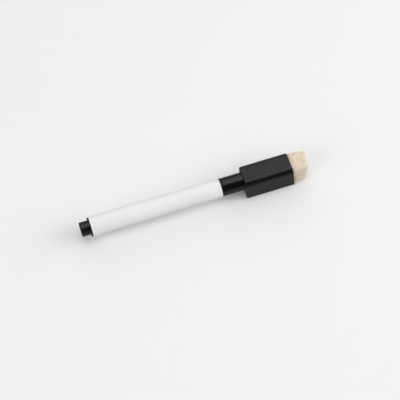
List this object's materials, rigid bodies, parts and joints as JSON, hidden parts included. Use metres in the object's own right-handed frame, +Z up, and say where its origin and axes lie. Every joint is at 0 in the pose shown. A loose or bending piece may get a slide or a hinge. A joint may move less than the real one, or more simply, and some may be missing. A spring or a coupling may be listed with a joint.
{
  "type": "whiteboard marker",
  "caption": "Slim mini dry-erase marker: white tapered barrel, black tail plug, pull-off black cap with a square magnetic block and a felt eraser in its end.",
  "frame": {"origin": "under the middle of the marker's length, in the plane of the eraser block's magnet face", "axes": "+X along the marker from the tail plug to the felt eraser, +Z up, away from the magnet face"},
  "size_m": [0.1152, 0.0124, 0.0124],
  "materials": {
    "white_plastic": "semi-gloss",
    "black_plastic": "satin",
    "black_gloss_plastic": "gloss",
    "reservoir_fibre": "ink-soaked fibre",
    "clear_film": "thin film",
    "nib_fibre": "sintered acrylic fibre",
    "natural_plastic": "natural polyethylene",
    "nickel_plating": "nickel plated",
    "glue": "hot-melt",
    "felt": "pressed wool felt"
  },
  "bodies": {
    "pen": {"barrel_tube": "white_plastic", "end_plug": "black_plastic", "ink_reservoir": "reservoir_fibre", "reservoir_film": "clear_film", "nib_holder": "black_plastic", "nib": "nib_fibre"},
    "cap": {"cap_sleeve": "black_gloss_plastic", "inner_cap": "natural_plastic"},
    "eraser_head": {"eraser_holder": "black_plastic", "magnet": "nickel_plating", "magnet_glue": "glue", "eraser_glue_pad": "glue", "eraser_felt": "felt"}
  },
  "joints": [
    {"name": "cap_pull", "type": "slide", "parent": "pen", "child": "cap", "axis": [1, 0, 0], "range_m": [0, 0.03]},
    {"name": "cap_twist", "type": "hinge", "parent": "cap", "child": "eraser_head", "pos_m": [0.037, 0, 0.0072], "axis": [1, 0, 0], "continuous": true}
  ]
}
